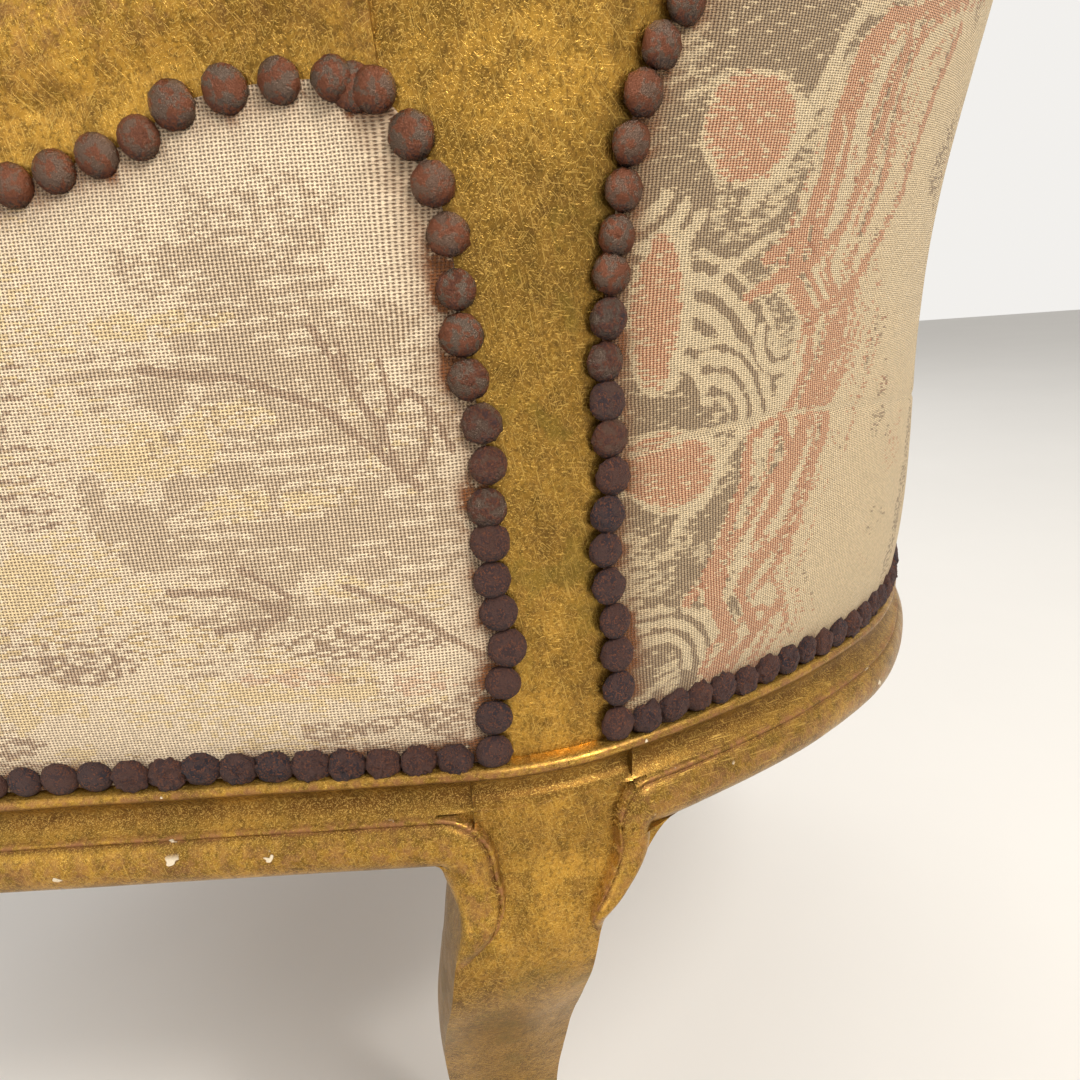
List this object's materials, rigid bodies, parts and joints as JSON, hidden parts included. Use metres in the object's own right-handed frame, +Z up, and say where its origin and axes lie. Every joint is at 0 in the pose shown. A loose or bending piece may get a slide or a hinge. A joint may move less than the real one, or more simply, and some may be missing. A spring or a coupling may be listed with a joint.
{
  "type": "bergere armchair",
  "caption": "Gilt wooden tub bergere with cabriole legs, closed tapestry sides and back edged with nails, padded inside, and a loose seat cushion.",
  "frame": {"origin": "centre of the bounding box, on the floor under the seat", "axes": "+Z up, -Y towards the front of the seat, +X to the sitter's left"},
  "size_m": [0.6808, 0.752, 0.898],
  "materials": {
    "gilt_wood": "water-gilded wood, worn",
    "beech": "bare",
    "webbing": "jute web",
    "hessian": "plain weave",
    "deck_cloth": "woven",
    "tapestry": "woven tapestry",
    "back_tapestry": "ribbed tapestry",
    "side_tapestry": "faded canvas-ground tapestry"
  },
  "bodies": {
    "chair": {"rear_post_right": "gilt_wood", "rear_post_left": "gilt_wood", "front_leg_right": "gilt_wood", "front_leg_left": "gilt_wood", "side_rail_right": "gilt_wood", "side_rail_left": "gilt_wood", "arm_rail_right": "gilt_wood", "arm_rail_left": "gilt_wood", "arm_stump_right": "gilt_wood", "arm_stump_left": "gilt_wood", "back_rail": "gilt_wood", "front_rail": "gilt_wood", "crest_rail": "gilt_wood", "arm_tacking_rail_right": "beech", "arm_tacking_rail_left": "beech", "rear_corner_block_right": "beech", "rear_corner_block_left": "beech", "front_corner_block_right": "beech", "front_corner_block_left": "beech", "back_tacking_rail": "beech", "seat_webbing": "webbing", "seat_hessian": "hessian", "seat_deck": "deck_cloth", "outside_back_cover": "back_tapestry", "inside_back_pad": "tapestry", "outside_arm_cover_right": "side_tapestry", "inside_arm_pad_right": "tapestry", "elbow_pad_right": "tapestry", "outside_arm_cover_left": "side_tapestry", "inside_arm_pad_left": "tapestry", "elbow_pad_left": "tapestry"},
    "cushion": {"seat_cushion": "tapestry"}
  },
  "joints": [
    {"name": "cushion_lift", "type": "slide", "parent": "chair", "child": "cushion", "axis": [0, 0, 1], "range_m": [0, 0.3]}
  ]
}
